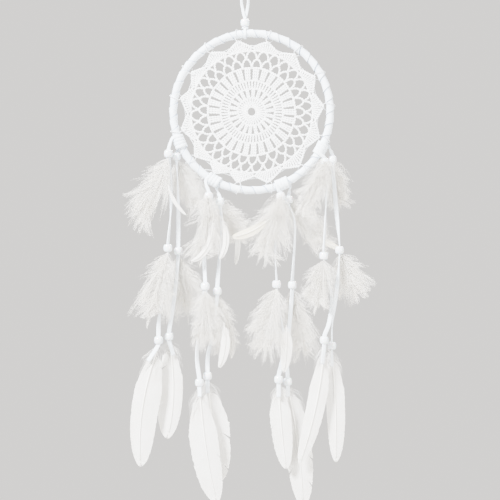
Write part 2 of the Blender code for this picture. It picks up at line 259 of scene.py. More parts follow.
class Heap:
    """Points and faces of one piece, gathered from many small shapes. Paint is the look of the next ones."""

    def __init__(self):
        self.points = []
        self.quads = []
        self.triangles = []
        self.looks = {"quads": [], "triangles": []}
        self.paint = 0
        self.count = 0

    def add_faces(self, kind, corners):
        (self.quads if kind == "quads" else self.triangles).append(corners)
        self.looks[kind].append(np.full(len(corners), self.paint))

    def grid(self, rows, closed):
        """A sheet of quads through rows of points: each row is a ring if closed."""
        height, width = rows.shape[:2]
        at = self.count + np.arange(height * width).reshape(height, width)
        right = np.roll(at, -1, axis=1)
        if not closed:
            at, right = at[:, :-1], right[:, :-1]
        self.add_faces("quads", np.stack([at[:-1], right[:-1], right[1:], at[1:]], axis=-1).reshape(-1, 4))
        self.points.append(rows.reshape(-1, 3))
        self.count += height * width

    def caps(self, ring):
        """Close the ends of the tube that was added last, whose rings have this many points."""
        first = self.count - len(self.points[-1])
        last = self.count - ring
        for i in range(1, ring - 1):
            self.add_faces("triangles", np.array([[first, first + i + 1, first + i],
                                                  [last, last + i, last + i + 1]]))

    def tube(self, line, radius, sides, ends=True):
        """A round tube along an array of points. Its radius is one number, or one a point."""
        _, side, other = frames(line)
        turn = np.arange(sides) * tau / sides
        radius = np.broadcast_to(np.asarray(radius, float), (len(line),))[:, None, None]
        rows = line[:, None] + radius * (
            np.cos(turn)[None, :, None] * side[:, None] + np.sin(turn)[None, :, None] * other[:, None])
        self.grid(rows[:, ::-1], closed=True)
        if ends:
            self.caps(sides)

    def spikes(self, feet, along, across, width):
        """Single tapered triangles: fine barbules."""
        n = len(feet)
        corners = np.stack([feet - across * width, feet + across * width, feet + along], axis=1)
        self.points.append(corners.reshape(-1, 3))
        self.add_faces("triangles", self.count + np.arange(3 * n).reshape(n, 3))
        self.count += 3 * n

    def mesh(self, name, crisp):
        """The gathered shapes as one mesh. The faces of the crisp look are flat shaded."""
        points = np.concatenate(self.points)
        quads = np.concatenate(self.quads) if self.quads else np.zeros((0, 4), int)
        triangles = np.concatenate(self.triangles) if self.triangles else np.zeros((0, 3), int)
        corners = np.concatenate([quads.ravel(), triangles.ravel()])
        sizes = np.concatenate([np.full(len(quads), 4), np.full(len(triangles), 3)])
        starts = np.concatenate([[0], np.cumsum(sizes)[:-1]])
        paint = np.concatenate(self.looks["quads"] + self.looks["triangles"])
        mesh = bpy.data.meshes.new(name)
        mesh.vertices.add(len(points))
        mesh.vertices.foreach_set("co", points.astype(np.float32).ravel())
        mesh.loops.add(len(corners))
        mesh.loops.foreach_set("vertex_index", corners.astype(np.int32))
        mesh.polygons.add(len(sizes))
        mesh.polygons.foreach_set("loop_start", starts.astype(np.int32))
        mesh.polygons.foreach_set("use_smooth", paint != crisp)
        mesh.polygons.foreach_set("material_index", paint.astype(np.int32))
        mesh.update(calc_edges=True)
        mesh.validate()
        return mesh

    def piece(self, name, looks, body, slot, shade=None, crisp=-1):
        """Make the object. Shade is one number a point, a painted shade which its material may read."""
        mesh = self.mesh(name, crisp)
        if shade is not None:
            values = mesh.attributes.new("shade", "FLOAT", "POINT").data
            values.foreach_set("value", np.ravel(shade).astype(np.float32))
        for look in looks:
            mesh.materials.append(LOOKS[look])
        made = linked(name, mesh)
        if body:
            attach(made, body)
        return made


# ---------------------------------------------------------------- materials

def shader_nodes(name, colour, roughness, sheen=0.0):
    made = bpy.data.materials.new(name)
    made.use_nodes = True
    shader = made.node_tree.nodes["Principled BSDF"]
    shader.inputs["Base Color"].default_value = (*colour, 1)
    shader.inputs["Roughness"].default_value = roughness
    shader.inputs["Sheen Weight"].default_value = sheen
    shader.inputs["Sheen Roughness"].default_value = 0.5
    return made, made.node_tree, shader


def textured(tree, kind, coordinates, **settings):
    node = tree.nodes.new(kind)
    tree.links.new(coordinates, node.inputs["Vector"])
    for key, value in settings.items():
        node.inputs[key].default_value = value
    return node


def shaded(tree, shader, source, dark, light, low=0.3, high=0.7):
    """Let a texture carry the base colour between two shades."""
    ramp = tree.nodes.new("ShaderNodeValToRGB")
    ramp.color_ramp.elements[0].position = low
    ramp.color_ramp.elements[0].color = (*dark, 1)
    ramp.color_ramp.elements[1].position = high
    ramp.color_ramp.elements[1].color = (*light, 1)
    tree.links.new(source, ramp.inputs[0])
    tree.links.new(ramp.outputs[0], shader.inputs["Base Color"])


def bumped(tree, shader, source, strength, distance):
    bump = tree.nodes.new("ShaderNodeBump")
    bump.inputs["Strength"].default_value = strength
    bump.inputs["Distance"].default_value = distance
    tree.links.new(source, bump.inputs["Height"])
    tree.links.new(bump.outputs[0], shader.inputs["Normal"])


def fibrous(name, dark, light, roughness, grain, bump, sheen=0.3, squeeze=(1, 1, 1)):
    """A matt fibre surface: a fine nap for its bump, and a slow drift of shade."""
    made, tree, shader = shader_nodes(name, light, roughness, sheen)
    place = tree.nodes.new("ShaderNodeTexCoord")
    scale = tree.nodes.new("ShaderNodeMapping")
    scale.inputs["Scale"].default_value = squeeze
    tree.links.new(place.outputs["Object"], scale.inputs["Vector"])
    drift = textured(tree, "ShaderNodeTexNoise", scale.outputs[0], Scale=grain / 12, Detail=4.0)
    nap = textured(tree, "ShaderNodeTexNoise", scale.outputs[0], Scale=grain, Detail=5.0, Roughness=0.65)
    both = tree.nodes.new("ShaderNodeMath")
    both.operation = "ADD"
    half = tree.nodes.new("ShaderNodeMath")
    half.operation = "MULTIPLY"
    half.inputs[1].default_value = 0.5
    tree.links.new(drift.outputs["Fac"], both.inputs[0])
    tree.links.new(nap.outputs["Fac"], both.inputs[1])
    tree.links.new(both.outputs[0], half.inputs[0])
    shaded(tree, shader, half.outputs[0], dark, light, 0.38, 0.6)
    bumped(tree, shader, nap.outputs["Fac"], bump, 0.0004)
    return made


def painted_seam_shade(made, colour):
    """Painted shade: where the mesh's shade is 1, as along a ribbon's lap, the surface takes this darker
    colour.
    """
    tree = made.node_tree
    shader = tree.nodes["Principled BSDF"]
    plain = shader.inputs["Base Color"].links[0].from_socket
    shade = tree.nodes.new("ShaderNodeAttribute")
    shade.attribute_name = "shade"
    mix = tree.nodes.new("ShaderNodeMix")
    mix.data_type = "RGBA"
    mix.inputs["B"].default_value = (*colour, 1)
    tree.links.new(shade.outputs["Fac"], mix.inputs["Factor"])
    tree.links.new(plain, mix.inputs["A"])
    tree.links.new(mix.outputs["Result"], shader.inputs["Base Color"])


def let_light_through(made, share, colour):
    """Thin fibres also pass some light on to their other side."""
    tree = made.node_tree
    through = tree.nodes.new("ShaderNodeBsdfTranslucent")
    through.inputs["Color"].default_value = (*colour, 1)
    both = tree.nodes.new("ShaderNodeMixShader")
    both.inputs[0].default_value = share
    tree.links.new(tree.nodes["Principled BSDF"].outputs[0], both.inputs[1])
    tree.links.new(through.outputs[0], both.inputs[2])
    tree.links.new(both.outputs[0], tree.nodes["Material Output"].inputs["Surface"])


def glossy_bead():
    """White plastic with a slight cloudiness under its gloss."""
    made, tree, shader = shader_nodes("bead_plastic", (0.86, 0.91, 0.97), 0.2)
    shader.inputs["Subsurface Weight"].default_value = 0.15
    shader.inputs["Subsurface Scale"].default_value = 0.001
    shader.inputs["Coat Weight"].default_value = 0.4
    shader.inputs["Coat Roughness"].default_value = 0.08
    place = tree.nodes.new("ShaderNodeTexCoord")
    cloud = textured(tree, "ShaderNodeTexNoise", place.outputs["Object"], Scale=260.0, Detail=3.0)
    shaded(tree, shader, cloud.outputs["Fac"], (0.80, 0.87, 0.94), (0.90, 0.94, 0.98))
    rough = tree.nodes.new("ShaderNodeMapRange")
    rough.inputs["To Min"].default_value = 0.14
    rough.inputs["To Max"].default_value = 0.32
    tree.links.new(cloud.outputs["Fac"], rough.inputs["Value"])
    tree.links.new(rough.outputs[0], shader.inputs["Roughness"])
    bumped(tree, shader, cloud.outputs["Fac"], 0.06, 0.0003)
    return made


LOOKS = {
    "core": fibrous("rattan", (0.40, 0.28, 0.17), (0.58, 0.44, 0.29), 0.7, 500, 0.3, 0.0),
    "ribbon": fibrous("suede_ribbon", (0.74, 0.82, 0.91), (0.85, 0.91, 0.97), 0.85, 2600, 0.35),
    "lace": fibrous("suede_lace", (0.76, 0.84, 0.92), (0.86, 0.92, 0.98), 0.85, 2600, 0.35),
    "cotton": fibrous("crochet_cotton", (0.84, 0.86, 0.87), (0.95, 0.96, 0.96), 0.8, 3000, 0.5),
    "thread": fibrous("lashing_cotton", (0.80, 0.83, 0.86), (0.93, 0.95, 0.96), 0.75, 3600, 0.4),
    "down": fibrous("marabou_down", (0.96, 0.935, 0.885), (0.99, 0.98, 0.955), 0.75, 700, 0.1, 0.5),
    "vane": fibrous("goose_vane", (0.90, 0.885, 0.845), (0.98, 0.97, 0.95), 0.55, 900, 0.15, 0.4),
    "rachis": fibrous("feather_shaft", (0.93, 0.91, 0.83), (0.99, 0.98, 0.94), 0.3, 700, 0.1, 0.0),
    "bead": glossy_bead(),
    "cream": fibrous("cream_vane", (0.84, 0.78, 0.60), (0.95, 0.91, 0.78), 0.55, 900, 0.15, 0.4),
}
# Painted shade: a blue-grey darkening along the ribbon's seams, where one turn laps the next.
painted_seam_shade(LOOKS["ribbon"], (0.22, 0.32, 0.50))
for soft, share in (("down", 0.5), ("vane", 0.3), ("cream", 0.3)):
    let_light_through(LOOKS[soft], share, (0.99, 0.975, 0.94))


# ---------------------------------------------------------------- hoop ribbon

# Across the ribbon, from its covered edge to its lapped one: share of the width, rise in thicknesses, shade.
# The shade column is painted shade: it darkens the colour along both sides of each seam.
RIBBON_SECTION = (
    (0.0, -1.0, 0), (0.1, -0.3, 1), (0.17, -0.02, 1), (0.2, 0.0, 0.6), (0.27, 0.02, 0.05), (0.5, 0.3, 0),
    (0.8, 0.8, 0), (0.95, 1.2, 0), (0.985, 1.25, 0.1), (1.0, 1.05, 0.9), (0.995, 0.7, 1),
)


def hoop_ribbon():
    """One ribbon wound round the hoop: each turn's edge lies over the turn before it."""
    heap = Heap()
    turns = round(tau * RING_R / RIBBON_PITCH)
    pitch = 360 / turns
    lap = RIBBON_LAP / RING_R * 180 / pi
    rows, shade = [], []
    for i in range(turns * RIBBON_AROUND + 1):
        turn = i / RIBBON_AROUND
        wobble = 0.8 * noise.noise(Vector((turn * 0.9, 3.1, 0)))
        for u, rise, dark in RIBBON_SECTION:
            angle = LOOP_ANGLE + pitch * turn + (pitch + lap) * (u - 0.5) + wobble
            crease = 0.1 * MM * noise.noise(Vector((turn * 6, u * 4, 7.7)))
            rows.append(ring_section(angle, -tau * turn, WRAP_R - RIBBON_THICK * (1 - rise) + crease))
            # Painted seam shade, a little stronger or weaker from turn to turn.
            shade.append(dark * (0.75 + 0.5 * noise.noise(Vector((turn * 3, 1.7, 0)))))
    grid = np.array([tuple(p) for p in rows]).reshape(-1, len(RIBBON_SECTION), 3)
    heap.grid(grid[:, ::-1], closed=False)
    shade = np.clip(np.array(shade).reshape(-1, len(RIBBON_SECTION))[:, ::-1], 0, 1)
    ribbon = heap.piece("hoop_ribbon", ["ribbon"], "hoop", "ribbon", shade=shade)
    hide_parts("hoop_wrap")


# ---------------------------------------------------------------- crochet

def twisted_pair(heap, points, radius=YARN_R, swing=YARN_SWING, pitch=YARN_PITCH, phase=0.0,
                 sides=5, step=0.75 * MM):
    """Two strands wound round each other: a stitch's post, a chain, or a plied thread."""
    line = resampled(points, step)
    _, side, other = frames(line)
    turn = phase + distances(line) / pitch * pi
    for strand in (0, pi):
        offset = np.sin(turn + strand)[:, None] * other + 0.55 * np.cos(turn + strand)[:, None] * side
        heap.tube(line + swing * offset, radius, sides)


def doily_point(angle, radius, y=0.0):
    """A point of the net, with its warp and the small unevenness of handwork."""
    p = ring_point(warped(angle, radius), radius, y)
    slow = noise.noise_vector(p * 90)
    return p + Vector((slow.x, slow.y * 0.6, slow.z)) * 0.55 * MM


def edge_radius(u):
    """The doily's edge at u web steps: pointed tips, and valleys between them."""
    from_tip = abs(u - floor(u + 0.5)) * 2
    return TIP_R - (TIP_R - VALLEY_R) * from_tip**0.85


def crochet_round(heap, radius, pitch):
    """A ring of chain stitches."""
    steps = max(24, int(radius / (0.4 * MM)))
    points = [doily_point(360 * i / steps, radius) for i in range(steps + 1)]
    twisted_pair(heap, points, pitch=pitch)


def posts(heap, count, start, low, high, lean=0.0):
    """A round of long stitches, from one radius to another. Lean is how far each goes round on its way."""
    for k in range(count):
        a = start + 360 * k / count
        points = [doily_point(a + lean * t, low + (high - low) * t) for t in (0, 0.25, 0.5, 0.75, 1)]
        twisted_pair(heap, points, phase=k * 1.9)


def net_arcs(heap, start, foot_r, crown_r):
    """Chain arches between neighbouring posts: one row of round cells."""
    step = 360 / CELLS
    for k in range(CELLS):
        a = start + step * k
        points = []
        for i in range(11):
            t = i / 10
            rise = sin(pi * t) ** 0.6
            points.append(doily_point(a + step * t, foot_r + (crown_r - foot_r) * rise))
        twisted_pair(heap, points, phase=k * 2.3)


def shell_stitch(heap, shell, i):
    """One long stitch of a shell's fan, up to the doily's edge."""
    part = (i + 0.5) / SHELL_FAN - 0.5
    u = shell + part
    a = WEB_START + WEB_STEP * u
    lean = WEB_STEP * 0.25 * part
    rise = edge_radius(u) - 0.6 * MM - SHELL_FOOT_R
    points = [doily_point(a + lean * (t - 1), SHELL_FOOT_R + rise * t) for t in (0, 0.35, 0.7, 1)]
    twisted_pair(heap, points, phase=i * 2.1 + shell)


def shells(heap):
    """Fifteen pointed shells of long stitches, bound by a chain along their edge."""
    for shell in range(WEB_POINTS):
        for i in range(SHELL_FAN):
            shell_stitch(heap, shell, i)
    steps = [i / EDGE_PARTS for i in range(WEB_POINTS * EDGE_PARTS + 1)]
    edge = [doily_point(WEB_START + WEB_STEP * u, edge_radius(u)) for u in steps]
    twisted_pair(heap, edge, swing=YARN_SWING * 1.1, pitch=YARN_PITCH * 0.9)
    inner = [doily_point(WEB_START + WEB_STEP * u, SHELL_FOOT_R + 0.6 * MM) for u in steps]
    twisted_pair(heap, inner, radius=YARN_R * 0.9)


def doily():
    """The doily, from its centre out: in three pieces, each with its rounds and rows of stitches."""
    heart = Heap()
    crochet_round(heart, 4.7 * MM, 2.2 * MM)
    posts(heart, 30, 2, 5.0 * MM, 13.2 * MM, lean=2.0)
    crochet_round(heart, 13.4 * MM, 2.4 * MM)
    for lean in (-3.0, 3.0):
        posts(heart, 22, 4 + lean, 13.6 * MM, 22.2 * MM, lean=-lean * 0.3)
    crochet_round(heart, 22.5 * MM, 2.6 * MM)
    posts(heart, 60, 1, 22.8 * MM, 30.2 * MM)
    crochet_round(heart, 30.4 * MM, 2.6 * MM)
    piece = heart.piece("doily_centre", ["cotton"], "hoop", "cotton")
    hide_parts("crochet_doily")

    net = Heap()
    for lean in (-2.9, 0, 2.9):
        posts(net, CELLS, 6 + lean, 31.0 * MM, 42.2 * MM)
    crochet_round(net, 42.5 * MM, 2.8 * MM)
    net_arcs(net, 0, 43.2 * MM, 51.2 * MM)
    net_arcs(net, 6, 50.6 * MM, 59.2 * MM)
    net.piece("doily_net", ["cotton"], "hoop", "cotton")

    rim = Heap()
    shells(rim)
    rim.piece("doily_shells", ["cotton"], "hoop", "cotton")


def clear_of_knots(angle):
    """Where the thread crosses the hoop: at its eyelet's angle, or just beside a lace's knot."""
    for knot in PENDANTS.values():
        if abs(angle - knot) < KNOT_CLEAR_DEG:
            return knot + KNOT_CLEAR_DEG * (1 if angle > knot else -1)
    return angle


def lashing_thread():
    """One plied thread: up through each eyelet, round the hoop, then behind the shells to the next."""
    points = []
    for k in range(WEB_POINTS):
        eyelet = warped(WEB_START + WEB_STEP * k, EYELET_R)
        across = clear_of_knots(eyelet)
        points.append(ring_point(eyelet - 0.5, EYELET_R, THREAD_LAY))
        points.append(ring_point(eyelet, EYELET_R, -THREAD_LAY))
        for i in range(12):
            turn = pi + radians(40) + radians(280) * i / 11
            points.append(ring_section(across + 5.0 * (i / 11 - 0.4), turn, THREAD_TURN_R))
        points.append(ring_point(eyelet + 1.9, EYELET_R - 0.8 * MM, THREAD_LAY))
    points.append(points[0])
    heap = Heap()
    twisted_pair(heap, smooth_route(points, 1.2 * MM), THREAD_R, THREAD_SWING, THREAD_PITCH,
                 sides=4, step=0.7 * MM)
    thread = heap.piece("lashing_yarn", ["thread"], "hoop", "cotton")
    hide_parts("lashing_thread")


# ---------------------------------------------------------------- laces

# A lace's outline and a knot's plainer one, as shares of its half width and half thickness.
LACE_OUTLINE = (
    (1, 0.55), (0.86, 1), (0.3, 0.92), (-0.3, 0.92), (-0.86, 1), (-1, 0.55),
    (-1, -0.55), (-0.86, -1), (-0.3, -0.92), (0.3, -0.92), (0.86, -1), (1, -0.55),
)
KNOT_OUTLINE = ((1, 0.4), (0.8, 1), (-0.8, 1), (-1, 0.4), (-1, -0.4), (-0.8, -1), (0.8, -1), (1, -0.4))


def flat_lace(heap, line, twist, width=LACE_WIDTH, thick=LACE_THICK):
    """A flat suede lace along an array of points: its face turns by twist, in radians, at each point."""
    tangents, _, _ = frames(line)
    rows = []
    for p, t, a in zip(line, tangents, twist):
        face = unit(BACKWARD - t * BACKWARD.dot(t))
        flat = np.cross(t, face)
        u = flat * cos(a) + face * sin(a)
        v = -flat * sin(a) + face * cos(a)
        rows.append([p + u * x * width / 2 + v * y * thick / 2 for x, y in LACE_OUTLINE])
    heap.grid(np.array(rows), closed=True)
    heap.caps(len(LACE_OUTLINE))


def side_of(name):
    """-1 for a front strand, and 1 for a back one."""
    return SIDES[name.rsplit("_", 1)[1]]


def bead_middle(name, which):
    return middle(f"{name}_{which}_bead")


def lace_stations(name):
    """The lace's way down one strand, from its upper bead's top to its tail's end."""
    side = side_of(name)
    bows = BOWS[name]
    through = Vector((0, 0, BEAD_HALF + 0.6 * MM))
    lay = Vector((0, -side * LACE_IN_BEAD, 0))
    upper, mid, end = (bead_middle(name, w) + lay for w in ("upper", "mid", "end"))
    end.y -= END_FORWARD if side < 0 else 0
    y = side * LACE_Y
    return [
        upper + through, upper - through, *(hung(p, y) for p in bows["upper"]),
        mid + through, mid - through, *(hung(p, y) for p in bows["lower"]),
        end + through, end - through, hung(bows["tail"], end.y - (1 * MM if side < 0 else 0)),
    ]


def lace_twist(line, seed):
    """Flat in the upper bead, with a slow roll below it, so that the lace shows its edge here and there."""
    twist = []
    for s in distances(line):
        turn = noise.noise(Vector((s * 14, seed * 7.3, 0.5)))
        twist.append(3.2 * turn * min(1, s / (12 * MM)))
    return twist


def length_of(line):
    return float(distances(line)[-1])


def strand_lace(name, seed):
    """One strand's free lace. It bends at the end bead, where its tail goes with the long feather."""
    line = resampled(smooth_route(lace_stations(name), 3 * MM), 1.5 * MM)
    heap = Heap()
    flat_lace(heap, line, lace_twist(line, seed))
    piece = heap.piece(f"{name}_lace", ["lace"], None, "lace")
    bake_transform(piece)
    return piece, line


def knot_route(pendant, centre_angle):
    """From the front strand's upper bead, round the hoop a few turns, and down to the back strand's bead."""
    half_span = KNOT_TURNS * KNOT_PITCH / RING_R * 90 / pi
    steps = int(KNOT_TURNS * 20)
    wound = []
    for i in range(steps + 1):
        turn = -pi / 2 - tau * i * KNOT_TURNS / steps
        wound.append(ring_section(centre_angle + half_span * (1 - 2 * i / steps), turn, KNOT_R))
    ends = []
    for side_name, sign in (("front", 1), ("back", -1)):
        side = SIDES[side_name]
        top = bead_middle(f"{pendant}_{side_name}", "upper") + Vector((0, -side * LACE_IN_BEAD, BEAD_HALF))
        ends.append([
            top - Vector((0, 0, 0.5 * MM)), top + Vector((0, 0, 0.9 * MM)),
            ring_point(centre_angle + sign * half_span, RING_R + SHOULDER_OUT, side * SHOULDER_Y),
        ])
    return ends[0] + wound + ends[1][::-1]


def knot_face(p, tangent):
    """The way a knot's flat side looks: away from the hoop's section, and forward once it is off the hoop."""
    arm = p - np.array(HOOP_CENTRE)
    arm[1] = 0
    core = np.array(HOOP_CENTRE) + arm / np.hypot(arm[0], arm[2]) * RING_R
    off = min(1.0, max(0.0, (np.linalg.norm(p - core) - 7 * MM) / (5 * MM)))
    face = unit(p - core) * (1 - off) - BACKWARD * off
    return unit(face - tangent * face.dot(tangent))


def knot_lace(pendant, centre_angle):
    """The lace's middle, wound round the hoop, with a shoulder down to each upper bead."""
    line = resampled(smooth_route(knot_route(pendant, centre_angle), 1.5 * MM), 1.2 * MM)
    tangents, _, _ = frames(line)
    rows = []
    for p, t in zip(line, tangents):
        face = knot_face(p, t)
        flat = np.cross(t, face)
        rows.append([p + flat * x * KNOT_WIDTH / 2 + face * y * KNOT_THICK / 2 for x, y in KNOT_OUTLINE])
    heap = Heap()
    heap.grid(np.array(rows), closed=True)
    heap.caps(len(KNOT_OUTLINE))
    piece = heap.piece(f"{pendant}_knot", ["lace"], "hoop", "lace")
    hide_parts(f"{pendant}_lace")


def loop_line():
    """The hanging lace's middle line: up the front, over its crown, and the same way down the back."""
    low, high = (Vector(p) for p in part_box("hanging_loop"))
    bead = middle("top_bead").z
    foot = ring_point(LOOP_ANGLE)
    reach = WRAP_R + LOOP_THICK / 2 + 0.3 * MM
    half = (high.x - low.x) / 2 - 0.8 * MM
    front = [foot + Vector((0, -reach * cos(a), -reach * sin(a))) for a in map(radians, (80, 45, 10))]
    front += [
        Vector((0, -3.2 * MM, bead - 8 * MM)),
        Vector((0, -LOOP_LEG, bead - BEAD_HALF)),
        Vector((0, -LOOP_LEG, bead + BEAD_HALF)),
        Vector((-1.4 * MM, -LOOP_LEG, bead + 9 * MM)),
        Vector((-half, -0.3 * MM, bead + 20 * MM)),
        Vector((-half * 0.8, 0, high.z - 3 * MM)),
    ]
    crown = Vector((0, 0, high.z - LOOP_THICK / 2))
    back = [Vector((-p.x, -p.y, p.z)) for p in reversed(front)]
    return resampled(smooth_route([*front, crown, *back], 1.5 * MM), 0.9 * MM)


def loop_tie(bead):
    """The small knot under the top bead: a trefoil of the same lace, pulled tight."""
    ties = []
    for i in range(41):
        a = tau * i / 40
        spread = 2.0 * MM + 0.9 * MM * cos(3 * a)
        height = bead - BEAD_HALF - 1.3 * MM + 0.6 * MM * sin(3 * a)
        ties.append(Vector((spread * cos(2 * a), spread * sin(2 * a) * 0.8, height)))
    heap = Heap()
    heap.tube(resampled(ties, 0.5 * MM), 0.7 * MM, 8)
    return heap.piece("loop_knot", ["lace"], "hanger", "lace")


def hanging_loop():
    """The loop of narrow lace, round the hoop and up through the top bead, with its knot under the bead."""
    bead = middle("top_bead").z
    line = loop_line()
    twist = []
    for p in line:
        up = min(1, max(0, (p[2] - bead - 6 * MM) / (14 * MM)))
        twist.append((0.35 + 0.25 * up) * (1 if p[0] > 0 else -1) * up)
    heap = Heap()
    flat_lace(heap, line, twist, LOOP_WIDTH, LOOP_THICK)
    piece = heap.piece("hanging_lace", ["lace"], "hanger", "lace")
    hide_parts("hanging_loop")
    length_of(line)
    loop_tie(bead)


# ---------------------------------------------------------------- beads

def pony_bead(name, at, body, node, seed):
    """A moulded barrel with a rounded rim and a flared hole, a little tilted on its lace."""
    profile = []
    for a in (pi * i / 12 for i in range(13)):
        profile.append((BEAD_R - BEAD_ROUND + BEAD_ROUND * sin(a) ** 0.9, -BEAD_HALF * cos(a)))
    for a in (pi * i / 6 for i in range(7)):
        profile.append((BEAD_HOLE_R + BEAD_FLARE * abs(cos(a)) ** 3, BEAD_HALF * 0.97 * cos(a)))
    turn = np.arange(BEAD_AROUND) * tau / BEAD_AROUND
    radius, height = np.array(profile + profile[:1]).T[:, :, None]
    x, y, z = radius * np.cos(turn), radius * np.sin(turn), height + 0 * turn
    lean = 0.1 * noise.noise(Vector((seed, 0.3, 1)))
    heap = Heap()
    heap.grid(np.stack([x + z * lean, y, z - x * lean], axis=-1) + np.array(tuple(at)), closed=True)
    piece = heap.piece(name, ["bead"], body, "bead")
    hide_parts(node)
    return piece


# ---------------------------------------------------------------- down

def spine_frame(curve, t):
    """At t along a shaft: the way it runs, and the way across it that lies upright and sideways."""
    ahead = curve(min(1, t + 0.02)) - curve(max(0, t - 0.02))
    ahead = np.array(ahead.normalized())
    return ahead, unit(np.cross(BACKWARD, -ahead))


def tuft_locks(rng):
    """Each lock's place on the shaft, side, depth, curl and reach, and the share of the tuft it ends at."""
    place = rng.uniform(0.0, 0.72, LOCKS)
    side = rng.uniform(-1, 1, LOCKS)
    depth = rng.uniform(-1, 1, LOCKS)
    curl = rng.normal(0, 0.13, (LOCKS, 3)) * np.array((1, 0.25, 1))
    reach = rng.uniform(0.42, 0.86, LOCKS)
    end = 1.06 - 0.46 * rng.uniform(0, 1, LOCKS) ** 1.6 - 0.2 * side**2
    return list(zip(place, side, depth, curl, reach, end))


class Tuft:
    """A marabou tuft's short bowed shaft, and the room its barbs have. It hangs before or behind its lace."""

    def __init__(self, foot, tip, half):
        self.foot = np.array(foot)
        self.half = half
        self.length = (tip - foot).length
        self.outward = np.sign(tip.y)
        self.to_tip = np.array((tip - foot).normalized())
        self.beside = np.array((-self.to_tip[2], 0.0, self.to_tip[0]))
        belly = Vector((foot.x * 0.72 + tip.x * 0.28, tip.y, foot.z * 0.68 + tip.z * 0.32))
        self.bends = (foot, belly, belly.lerp(tip, 0.6), tip)

    def spine(self, t):
        return bezier(t, *self.bends)

    def barb(self, rng, lock, kind):
        """One barb, along a simple curve from the shaft. Its place in its lock is random."""
        place, lock_side, lock_depth, curl, lock_reach, lock_end = lock
        half = self.half
        short = kind != "long"
        t = rng.uniform(0, 0.3) if short else float(np.clip(place + rng.normal(0, 0.06), 0, 0.85))
        ahead, across = spine_frame(self.spine, t)
        reach = self.length * lock_reach * rng.uniform(0.75, 1.08) * (1 - 0.5 * t) * (0.45 if short else 1)
        spread = half * (0.65 + 1.05 * sin(pi * min(1, 0.12 + t))) * lock_side * rng.uniform(0.75, 1.2)
        depth = 4.2 * MM * lock_depth
        root = np.array(self.spine(t))
        knee = root + ahead * reach * 0.34 + across * (spread * 0.82 + rng.normal(0, 0.14) * half)
        knee += BACKWARD * (depth + rng.normal(0, 0.8 * MM))
        end = root + ahead * reach * (0.62 if short else 0.9)
        end += across * (spread * 1.15 + rng.normal(0, 0.05) * half)
        end += BACKWARD * depth * 0.9 + DOWN * reach * 0.14 + curl * reach
        if kind == "over bead":
            aside = rng.normal(0, 3.4 * MM)
            knee = root + np.array((aside * 1.3, self.outward * 11 * MM, rng.uniform(12, 19) * MM))
            fall = self.outward * rng.uniform(4, 7) * MM
            end = root + np.array((aside * 2.3, fall, -rng.uniform(2, 14) * MM))
        end = self.end_inside(rng, end, lock_end)
        line = root * (1 - BARB_STEPS) ** 2 + knee * 2 * BARB_STEPS * (1 - BARB_STEPS) + end * BARB_STEPS**2
        line[:, 1] = self.depth_inside(line[:, 1], t)
        return line

    def end_inside(self, rng, end, lock_end):
        """Keep a barb's end inside its lock's length and the tuft's width, with a ragged edge."""
        past = (end - self.foot).dot(self.to_tip) - self.length * lock_end - rng.normal(0, 1.2 * MM)
        end = end - self.to_tip * max(0.0, past)
        wide = (end - self.foot).dot(self.beside)
        past = abs(wide) - 1.95 * self.half - rng.normal(0, 1.0 * MM)
        return end - self.beside * np.sign(wide) * max(0.0, past)

    def depth_inside(self, y, t):
        """Keep a barb's depth clear of its lace, and inside the tuft's reach, with smooth bends at both."""
        clear = FLUFF_CLEAR * min(1, 0.4 + 3 * t)
        past = self.outward * y - clear
        past = (past + np.sqrt(past**2 + (1.2 * MM) ** 2)) / 2
        return self.outward * (clear + (FLUFF_REACH - clear) * np.tanh(past / (FLUFF_REACH - clear)))


def barbules(rng, line):
    """The fine barbules along one barb: their feet, their lengths, and the ways across them."""
    at = np.sort(rng.uniform(0.05, 1.0, BARBULES))
    feet = np.stack([np.interp(at, BARB_STEPS[:, 0], line[:, k]) for k in range(3)], axis=1)
    way = unit(line[-1] - line[0])
    swirl = rng.normal(0, 1, (BARBULES, 3)) * np.array((1.0, 0.8, 1.0))
    swirl = unit(swirl - swirl.dot(way)[:, None] * way)
    size = rng.uniform(1.4, 3.4, (BARBULES, 1)) * MM * (1.2 - 0.7 * at[:, None])
    return feet, (way * 0.75 + swirl * 0.66) * size, unit(np.cross(swirl, way))


def down_tuft(name, start, foot, tip, half, body, node, seed, over):
    """A marabou tuft: soft barbs from a short bowed shaft, gathered in locks, each with its barbules."""
    rng = np.random.default_rng(seed)
    tuft = Tuft(foot, tip, half)
    shaft = resampled([start, foot] + [tuft.spine(t) for t in np.linspace(0.1, 0.8, 12)], 1.2 * MM)
    heap = Heap()
    heap.tube(shaft, np.linspace(0.6 * MM, 0.12 * MM, len(shaft)), 6)
    locks = tuft_locks(rng)
    fine = []
    for kind in ["long"] * BARBS + ["puff"] * PUFFS + ["over bead"] * over:
        line = tuft.barb(rng, locks[rng.integers(LOCKS)], kind)
        heap.tube(line, BARB_R * (1 - 0.85 * BARB_STEPS[:, 0]), 3, ends=False)
        fine.append(barbules(rng, line))
    feet, along, across = (np.concatenate(parts) for parts in zip(*fine))
    heap.spikes(feet, along, across, BARBULE_HALF)
    piece = heap.piece(name, ["down"], body, "down")
    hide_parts(node)
    return piece


# ---------------------------------------------------------------- long feathers

def vane_half(u, broad):
    """The vane's half width as a share: quickly out from the quill, and narrowing to its point."""
    return min(1.0, u / broad) ** 0.6 * max(0.0, 1 - u**4.5) ** 0.6


